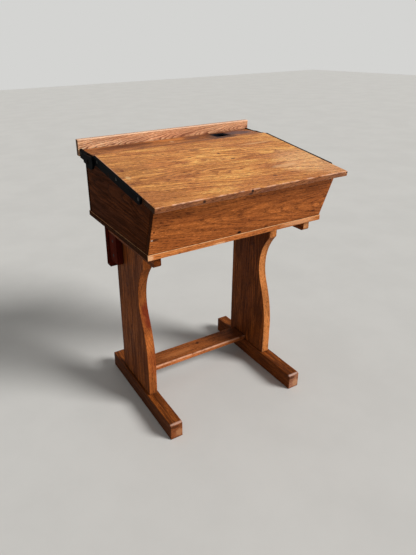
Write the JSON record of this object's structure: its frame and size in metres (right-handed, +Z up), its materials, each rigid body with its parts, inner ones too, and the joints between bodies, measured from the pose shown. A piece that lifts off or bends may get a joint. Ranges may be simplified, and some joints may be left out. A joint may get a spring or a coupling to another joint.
{
  "type": "school desk with lift lid",
  "caption": "Wooden school desk with a book box under a sloping hinged lid, a pen shelf with an inkwell, and two shaped uprights on long feet.",
  "frame": {"origin": "on the floor under the middle of the whole desk's bounding box", "axes": "+X to the sitter's right, +Y to the back of the desk, +Z up"},
  "size_m": [0.6086, 0.4763, 0.8072],
  "materials": {
    "lid_wood": "satin varnish, worn",
    "box_wood": "satin varnish",
    "shelf_wood": "satin varnish, ink-stained",
    "upstand_wood": "satin varnish",
    "bottom_wood": "satin varnish",
    "stand_wood": "satin varnish",
    "inside_wood": "bare, unvarnished",
    "hinge_iron": "black paint, worn",
    "screw_steel": "dulled",
    "nail_steel": "dulled",
    "stoneware": "dull glaze"
  },
  "bodies": {
    "desk": {"pen_shelf": "shelf_wood", "inkwell_cup": "stoneware", "upstand_rail": "upstand_wood", "upstand_screws": "screw_steel", "shelf_nails": "nail_steel", "hinge_bracket_left": "hinge_iron", "hinge_bracket_right": "hinge_iron", "hinge_bracket_screws": "screw_steel", "hinge_pin_left": "hinge_iron", "hinge_pin_right": "hinge_iron", "box_front": "box_wood", "box_side_left": "box_wood", "box_side_right": "box_wood", "box_back": "box_wood", "bottom_board_front": "bottom_wood", "bottom_board_rear": "bottom_wood", "box_front_nails": "nail_steel", "box_back_nails": "nail_steel", "box_bottom_nails": "nail_steel", "upright_left": "stand_wood", "upright_right": "stand_wood", "foot_left": "stand_wood", "foot_right": "stand_wood", "stretcher": "stand_wood", "bearer_left": "stand_wood", "bearer_right": "stand_wood", "rear_cleat_left": "stand_wood", "rear_cleat_right": "stand_wood", "rear_rail": "stand_wood", "bearer_screws": "screw_steel", "rear_cleat_screws": "screw_steel", "rear_rail_screws": "screw_steel"},
    "lid": {"lid_board_front": "lid_wood", "lid_board_rear": "lid_wood", "lid_batten_left": "inside_wood", "lid_batten_right": "inside_wood", "lid_batten_screws": "screw_steel", "hinge_strap_left": "hinge_iron", "hinge_strap_right": "hinge_iron", "hinge_strap_screws": "screw_steel"}
  },
  "joints": [
    {"name": "lid_hinge", "type": "hinge", "parent": "desk", "child": "lid", "pos_m": [0, 0.14002, 0.76], "axis": [-1, 0, 0], "range_deg": [0, 100]}
  ]
}
